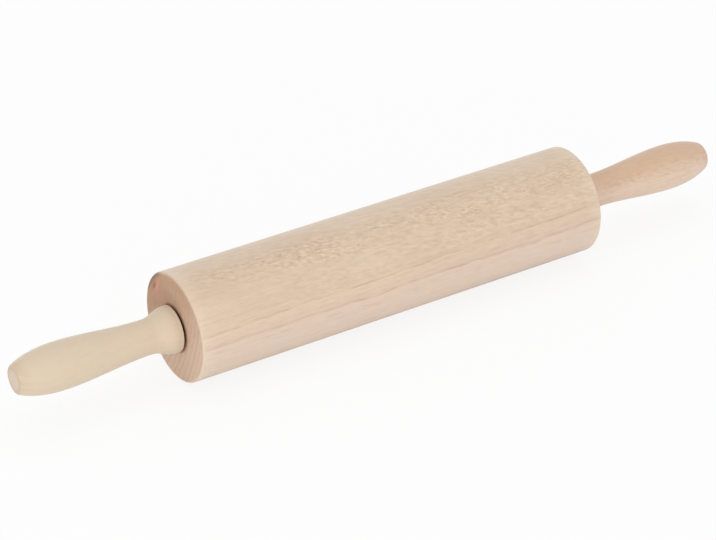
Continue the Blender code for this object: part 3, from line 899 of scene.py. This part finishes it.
def camera():
    """A long lens, from the left, in front and above."""
    level = math.cos(CAMERA_ELEVATION)
    to_left = math.sin(CAMERA_AZIMUTH) * level
    to_front = math.cos(CAMERA_AZIMUTH) * level
    back = Vector((-to_left, -to_front, math.sin(CAMERA_ELEVATION)))
    right = (-back).cross(Vector((0, 0, 1))).normalized()
    up = right.cross(-back)
    place = back * CAMERA_AWAY + right * CAMERA_RIGHT + up * CAMERA_UP
    data = bpy.data.cameras.new("camera")
    data.lens = LENS
    data.sensor_width = SENSOR
    data.clip_start = 0.05
    eye = bpy.data.objects.new("camera", data)
    bpy.context.scene.collection.objects.link(eye)
    turn = Matrix((right, up, back)).transposed()
    eye.matrix_world = Matrix.Translation(place) @ turn.to_4x4()
    bpy.context.scene.camera = eye


def lamp(name, size, power, place):
    """A rectangular panel of light, turned towards the middle of the pin."""
    data = bpy.data.lights.new(name, "AREA")
    data.shape = "RECTANGLE"
    data.size, data.size_y = size
    data.energy = power
    panel = bpy.data.objects.new(name, data)
    bpy.context.scene.collection.objects.link(panel)
    panel.location = place
    panel.rotation_euler = (-Vector(place)).to_track_quat("-Z", "Y").to_euler()


def floor():
    """White paper under the roller. The camera sees mostly its glow, so that it stays white."""
    level = -ROLLER_RADIUS * MM - FLOOR_CLEAR
    corners = [(FLOOR_HALF * x, FLOOR_HALF * y, level) for x, y in ((-1, -1), (1, -1), (1, 1), (-1, 1))]
    mesh = bpy.data.meshes.new("floor")
    mesh.from_pydata(corners, [], [(0, 1, 2, 3)])
    sheet = bpy.data.objects.new("floor", mesh)
    bpy.context.scene.collection.objects.link(sheet)
    paper = Finish("white paper")
    paper.set(Base_Color=(0.94, 0.94, 0.94, 1.0), Roughness=0.9, Specular_IOR_Level=0.1)
    seen = paper.node("ShaderNodeLightPath", output="Is Camera Ray")
    glow = paper.node("ShaderNodeEmission", inputs={"Color": (1, 1, 1, 1), "Strength": 1.0})
    lit = Wire(paper, paper.shader.outputs[0])
    surface = paper.node("ShaderNodeMixShader", inputs={0: seen * FLOOR_GLOW, 1: lit, 2: glow})
    paper.plug(paper.tree.nodes["Material Output"].inputs["Surface"], surface)
    mesh.materials.append(paper.material)


def surround():
    """A white world, dimmer as a light than it is to the camera and in reflections."""
    world = bpy.data.worlds.new("surround")
    bpy.context.scene.world = world
    world.use_nodes = True
    nodes = world.node_tree.nodes
    links = world.node_tree.links
    path = nodes.new("ShaderNodeLightPath")
    either = nodes.new("ShaderNodeMath")
    either.operation = "MAXIMUM"
    links.new(path.outputs["Is Camera Ray"], either.inputs[0])
    links.new(path.outputs["Is Glossy Ray"], either.inputs[1])
    level = nodes.new("ShaderNodeMix")
    level.data_type = "FLOAT"
    links.new(either.outputs[0], level.inputs[0])
    level.inputs[2].default_value = SKY_LIGHT
    level.inputs[3].default_value = 1.0
    back = nodes["Background"]
    back.inputs["Color"].default_value = (1.0, 1.0, 1.0, 1.0)
    links.new(level.outputs[0], back.inputs["Strength"])


def studio():
    """The floor and the surround, a wide softbox overhead, and low panels in front, behind and left."""
    floor()
    surround()
    lamp("overhead softbox", size=(1.6, 1.6), power=6.0, place=(0.1, 0.2, 1.5))
    lamp("low front panel", size=(2.4, 0.4), power=9.0, place=(-0.5, -1.5, 0.18))
    lamp("left panel", size=(1.2, 1.0), power=2.5, place=(-1.6, -0.2, 0.5))
    lamp("rear panel", size=(2.4, 0.4), power=2.5, place=(0.5, 1.6, 0.35))


# The last two colours of each table are painted: a dark brown for shade in the gap between roller and
# grip, and a pale tone for highlights on corners.
ROLLER_COLOURS = {
    "pale": srgb(218, 195, 171),
    "warm": srgb(214, 190, 165),
    "blush": srgb(218, 197, 182),
    "streak": srgb(213, 187, 162),
    "late": srgb(188, 152, 124),
    "ray": srgb(180, 146, 116),
    "shine": srgb(232, 213, 190),
    "end": srgb(217, 187, 161),
    "end_high": srgb(186, 144, 109),
    "end_late": srgb(166, 126, 98),
    "heart": srgb(186, 130, 99),
    "vein": srgb(150, 88, 58),
    "ember": srgb(210, 146, 102),
    "scar": srgb(150, 90, 20),
    "bark": srgb(112, 84, 66),
    "dark_patch": srgb(164, 126, 94),
    "painted_shade": srgb(140, 74, 28),
    "painted_highlight": srgb(236, 218, 196),
}
NEAR_COLOURS = {
    "pale": srgb(213, 197, 172),
    "warm": srgb(216, 196, 172),
    "streak": srgb(213, 191, 164),
    "late": srgb(202, 174, 144),
    "ray": srgb(198, 170, 140),
    "shine": srgb(230, 212, 190),
    "end": srgb(214, 194, 170),
    "end_high": srgb(208, 184, 158),
    "end_late": srgb(192, 160, 130),
    "painted_shade": srgb(150, 104, 66),
    "painted_highlight": srgb(230, 214, 192),
}
FAR_COLOURS = {
    "pale": srgb(216, 186, 160),
    "warm": srgb(210, 178, 149),
    "blush": srgb(222, 198, 178),
    "streak": srgb(202, 164, 132),
    "late": srgb(190, 150, 118),
    "ray": srgb(186, 146, 118),
    "shine": srgb(230, 204, 180),
    "end": srgb(212, 180, 152),
    "end_high": srgb(204, 170, 142),
    "end_late": srgb(184, 146, 116),
    "painted_shade": srgb(150, 104, 66),
    "painted_highlight": srgb(228, 204, 180),
}

bpy.context.scene.view_settings.view_transform = "Standard"

roller_beech = beech(
    "sanded beech, roller",
    pith=(103.0, 38.0),
    ring_width=3.4,
    first_ring=2.1,
    colours=ROLLER_COLOURS,
    lines={"from": 21.5, "to": 29.0},
    blush={"from": 23.0, "to": 32.0},
    heart={"y": 21.0, "z": 17.0, "reach": 19.0},
    figured_from=-108.0,
)
near_beech = beech(
    "sanded beech, left grip",
    pith=(-40.0, 95.0),
    ring_width=3.2,
    first_ring=0.0,
    colours=NEAR_COLOURS,
    ray_strength=0.25,
)
far_beech = beech(
    "sanded beech, right grip",
    pith=(68.0, 98.0),
    ring_width=2.8,
    first_ring=1.0,
    colours=FAR_COLOURS,
    ray_strength=0.6,
    blush={"from": -3.0, "to": 7.0},
)
rod_steel = ground_steel("bright drawn steel", (0.60, 0.60, 0.61, 1.0), 0.30, 0.08)
# The rings and shields are painted darker and browner than bright bearing steel, as shade, since they show
# only in the narrow shaded gap between roller and grip.
race_steel = ground_steel("bearing steel, painted dark as shade", (0.20, 0.13, 0.08, 1.0), 0.36, 0.05)
shield_steel = ground_steel("pressed shield steel", (0.34, 0.30, 0.26, 1.0), 0.38, 0.12)
washer_steel = ground_steel("zinc-plated steel", (0.55, 0.56, 0.58, 1.0), 0.40, 0.10)
ball_steel = ground_steel("lapped ball steel", (0.66, 0.66, 0.67, 1.0), 0.08, 0.40)
cage_nylon = moulded_nylon("natural nylon", (0.80, 0.78, 0.71, 1.0))

dressed(roller(), roller_beech, "roller", "barrel")
dressed(rod(), rod_steel, "handles", "axle_rod")
dressed(grip("left_grip", -1), near_beech, "handles", "left_handle")
dressed(grip("right_grip", 1), far_beech, "handles", "right_handle")

for end, side in (("left", -1), ("right", 1)):
    dressed(washer(f"{end}_washer", side), washer_steel, "handles", f"{end}_spacer_washer")
    dressed(inner_race(f"{end}_inner_ring", side), race_steel, "handles", f"{end}_inner_race")
    dressed(outer_race(f"{end}_outer_ring", side), race_steel, "roller", f"{end}_outer_race")
    for word, facing in (("outboard", 1), ("inboard", -1)):
        piece = shield(f"{end}_{word}_cover", side, facing)
        dressed(piece, shield_steel, "roller", f"{end}_{word}_shield")
    places = [np.mean(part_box(f"{end}_ball_{k}"), axis=0) / MM for k in range(1, BALLS + 1)]
    first_ball = math.atan2(places[0][2], places[0][1])
    crown = cage(f"{end}_crown", side, first_ball)
    dressed(crown, cage_nylon, f"{end}_cage", f"{end}_ball_cage")
    for k, place in enumerate(places, 1):
        piece = ball(f"{end}_bearing_ball_{k}", place)
        dressed(piece, ball_steel, f"{end}_cage", f"{end}_ball_{k}")

studio()
camera()
